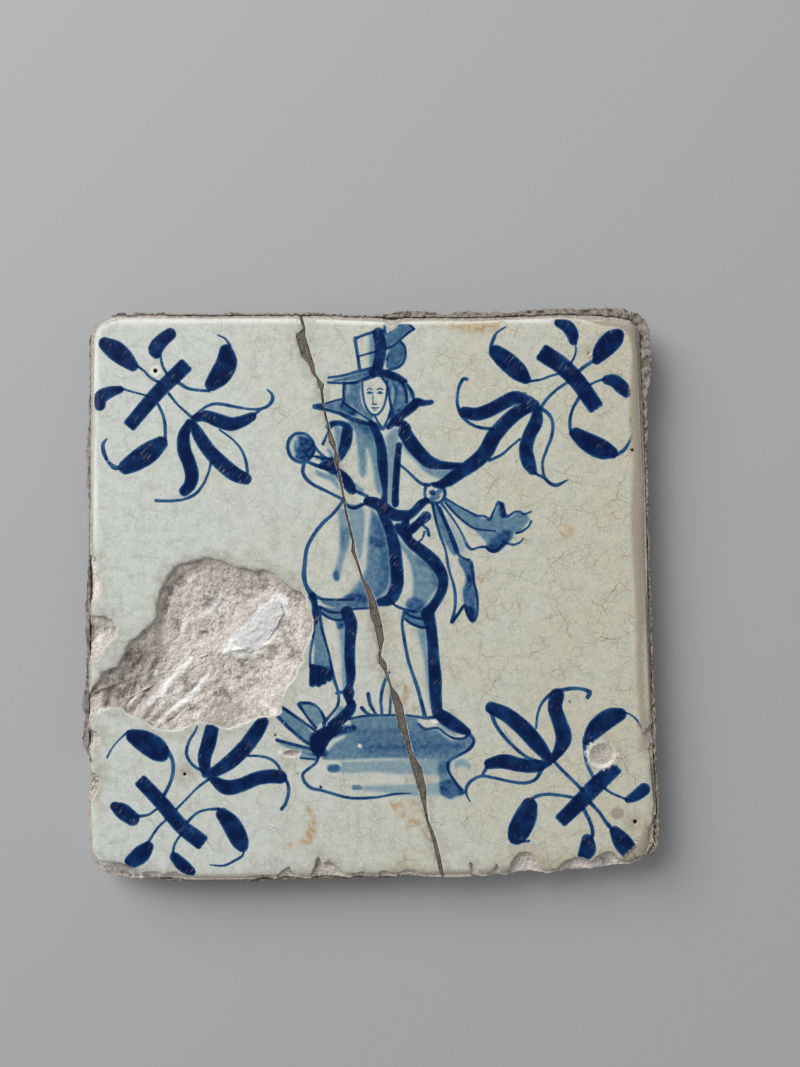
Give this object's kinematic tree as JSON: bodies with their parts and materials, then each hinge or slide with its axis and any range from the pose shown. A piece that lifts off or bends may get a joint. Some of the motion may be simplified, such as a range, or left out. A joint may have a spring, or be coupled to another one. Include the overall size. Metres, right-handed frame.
{
  "type": "glazed wall tile",
  "caption": "Square tin-glazed earthenware wall tile with a blue figure and corner flowers, broken across and rejoined, with a large glaze loss and old mortar on its sides.",
  "frame": {"origin": "centre of the tile's back, on the face that it rests on", "axes": "+X to the right of the painted face, +Y towards its top, +Z out of the glaze"},
  "size_m": [0.133, 0.1326, 0.0089],
  "materials": {
    "clay": "matte",
    "tin_glaze": "gloss",
    "filler": "rough",
    "plaster": "matte",
    "mortar": "rough"
  },
  "bodies": {
    "root": {"clay_left": "clay", "clay_right": "clay", "glaze_left": "tin_glaze", "glaze_right": "tin_glaze", "break_filler": "filler", "plaster_patch": "plaster", "mortar_top": "mortar", "mortar_right": "mortar", "mortar_bottom": "mortar", "mortar_left": "mortar"}
  },
  "joints": []
}
